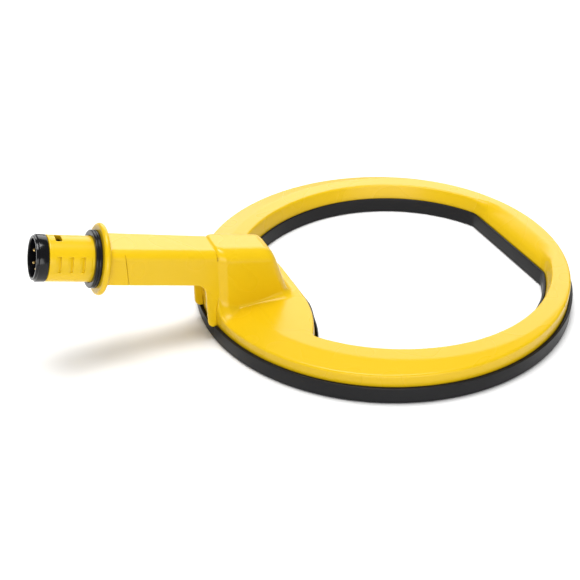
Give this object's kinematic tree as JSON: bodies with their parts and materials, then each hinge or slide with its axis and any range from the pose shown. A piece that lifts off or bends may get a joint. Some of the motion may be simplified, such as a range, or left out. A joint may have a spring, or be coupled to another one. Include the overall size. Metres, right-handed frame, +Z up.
{
  "type": "metal detector search coil head",
  "caption": "Open round search coil head of an underwater metal detector: clip-on scuff cover, hollow ring, lobe with neck and a sloping arm that ends in a sealed plug with contacts.",
  "frame": {"origin": "middle of the whole head's footprint, on the ground under the scuff cover", "axes": "+X from the plug towards the far side of the coil ring, +Z up out of the ring's flat top, +Y across"},
  "size_m": [0.282, 0.2, 0.0718],
  "materials": {
    "yellow_plastic": "satin gloss yellow",
    "black_cover_plastic": "satin black",
    "black_gloss_plastic": "glossy black",
    "black_insulator_plastic": "matt black",
    "black_rubber": "smooth rubber",
    "gold_contacts": "gold plated, bright",
    "copper_wire": "enamelled copper",
    "tan_tape": "woven tape",
    "shield_foil": "foil",
    "dark_epoxy": "cast resin"
  },
  "bodies": {
    "scuff_cover_body": {"scuff_cover": "black_cover_plastic"},
    "coil_head": {"coil_top_shell": "yellow_plastic", "coil_bottom_plate": "yellow_plastic", "copper_winding": "copper_wire", "winding_tape": "tan_tape", "shield_wrap": "shield_foil", "potting_bed": "dark_epoxy", "coil_lead_1": "copper_wire", "coil_lead_2": "copper_wire", "lead_grommet": "black_rubber", "lead_cable": "black_rubber", "arm_shell": "yellow_plastic", "arm_seal_plug": "black_rubber", "connector_tube": "yellow_plastic", "flange_gasket": "black_rubber", "plug_shell": "black_gloss_plastic", "plug_o_ring": "black_rubber", "contact_insulator": "black_insulator_plastic", "insulator_ring": "black_insulator_plastic", "contact_pin_1": "gold_contacts", "contact_pin_2": "gold_contacts", "contact_pin_3": "gold_contacts", "contact_pin_4": "gold_contacts", "contact_pin_5": "gold_contacts", "plug_wire_1": "copper_wire", "plug_wire_2": "copper_wire", "plug_wire_3": "copper_wire", "plug_wire_4": "copper_wire", "plug_wire_5": "copper_wire"}
  },
  "joints": [
    {"name": "head_lift_off", "type": "slide", "parent": "scuff_cover_body", "child": "coil_head", "axis": [0, 0, 1], "range_m": [0, 0.02]}
  ]
}
